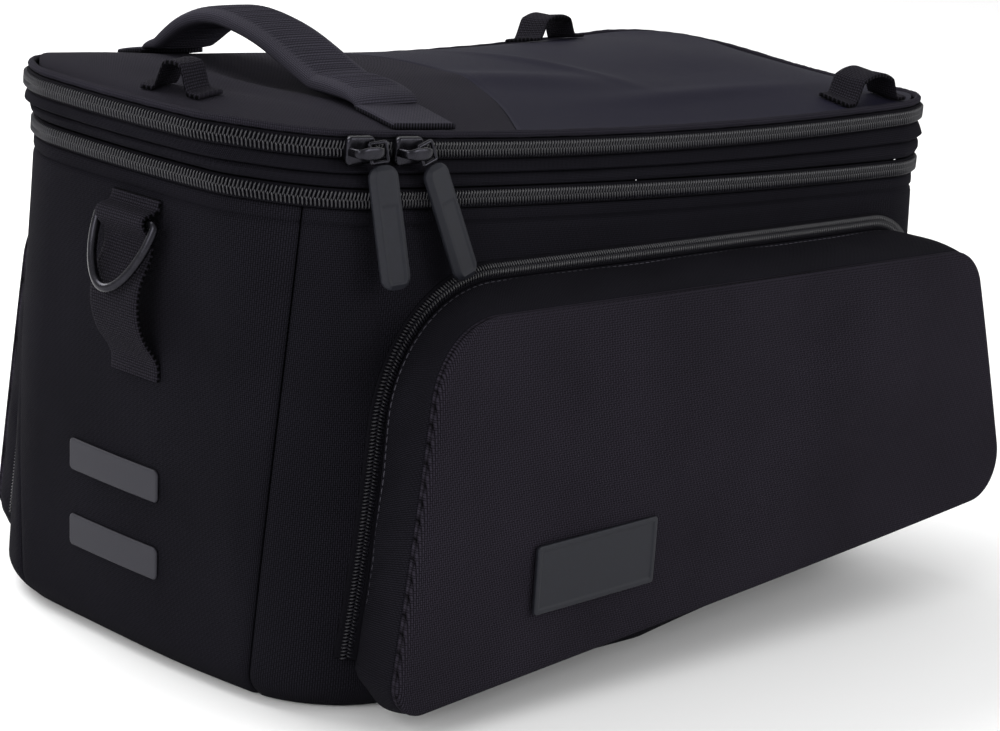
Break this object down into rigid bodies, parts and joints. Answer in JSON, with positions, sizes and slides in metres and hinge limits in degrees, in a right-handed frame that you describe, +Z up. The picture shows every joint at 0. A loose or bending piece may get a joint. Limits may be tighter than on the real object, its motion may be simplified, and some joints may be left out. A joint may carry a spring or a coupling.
{
  "type": "bicycle rack bag",
  "caption": "Soft padded box bag for a bicycle's rear rack with a zipped lid, an expansion gusset, two side pockets, a carrying handle, lid loops and a light loop with a D-ring.",
  "frame": {"origin": "middle of the flat base, on the surface that the bag stands on", "axes": "+X along the bag towards the end away from the light loop, -Y out of the near side pocket, +Z up"},
  "size_m": [0.401, 0.2583, 0.2275],
  "materials": {
    "body_cloth": "black diagonal-weave polyester, matt",
    "ribbed_cloth": "black ribbed polyester, matt",
    "smooth_cloth": "black coated nylon with a navy tint, soft sheen",
    "webbing": "black woven webbing, matt",
    "zip_coil": "black nylon coil on black tape",
    "dark_metal": "black painted metal, satin",
    "pull_rubber": "dark grey soft rubber, matt",
    "reflective": "dark grey reflective film, satin"
  },
  "bodies": {
    "bag": {"base_panel": "body_cloth", "near_side_panel": "body_cloth", "front_end_panel": "body_cloth", "far_side_panel": "body_cloth", "rear_end_panel": "body_cloth", "expansion_zip": "zip_coil", "expansion_gusset": "body_cloth", "lid_zip": "zip_coil", "lid_welt": "ribbed_cloth", "lid_ribbed_panel": "ribbed_cloth", "lid_smooth_panel": "smooth_cloth", "handle_grip": "webbing", "near_handle_tab": "webbing", "far_handle_tab": "webbing", "rear_lid_loop": "webbing", "near_lid_loop": "webbing", "far_lid_loop": "webbing", "light_loop": "webbing", "upper_reflector": "reflective", "lower_reflector": "reflective", "rear_slider": "dark_metal", "front_slider": "dark_metal", "near_pocket_gusset": "body_cloth", "near_pocket_face": "body_cloth", "near_pocket_zip": "zip_coil", "far_pocket_gusset": "body_cloth", "far_pocket_face": "body_cloth", "far_pocket_zip": "zip_coil", "pocket_label": "pull_rubber"},
    "d_ring": {"d_ring": "dark_metal"},
    "rear_pull": {"rear_pull_link": "dark_metal", "rear_pull_tab": "pull_rubber"},
    "front_pull": {"front_pull_link": "dark_metal", "front_pull_tab": "pull_rubber"}
  },
  "joints": [
    {"name": "d_ring_swing", "type": "hinge", "parent": "bag", "child": "d_ring", "pos_m": [-0.19271, -0.015, 0.163], "axis": [0, 1, 0], "range_deg": [0, 150]},
    {"name": "rear_pull_swing", "type": "hinge", "parent": "bag", "child": "rear_pull", "pos_m": [-0.14545, -0.08793, 0.19697], "axis": [-0.2537, -0.9483, 0.1908], "range_deg": [-25, 30]},
    {"name": "front_pull_swing", "type": "hinge", "parent": "bag", "child": "front_pull", "pos_m": [-0.12294, -0.08827, 0.19537], "axis": [-0.0143, -0.9815, 0.1908], "range_deg": [-20, 80]}
  ]
}
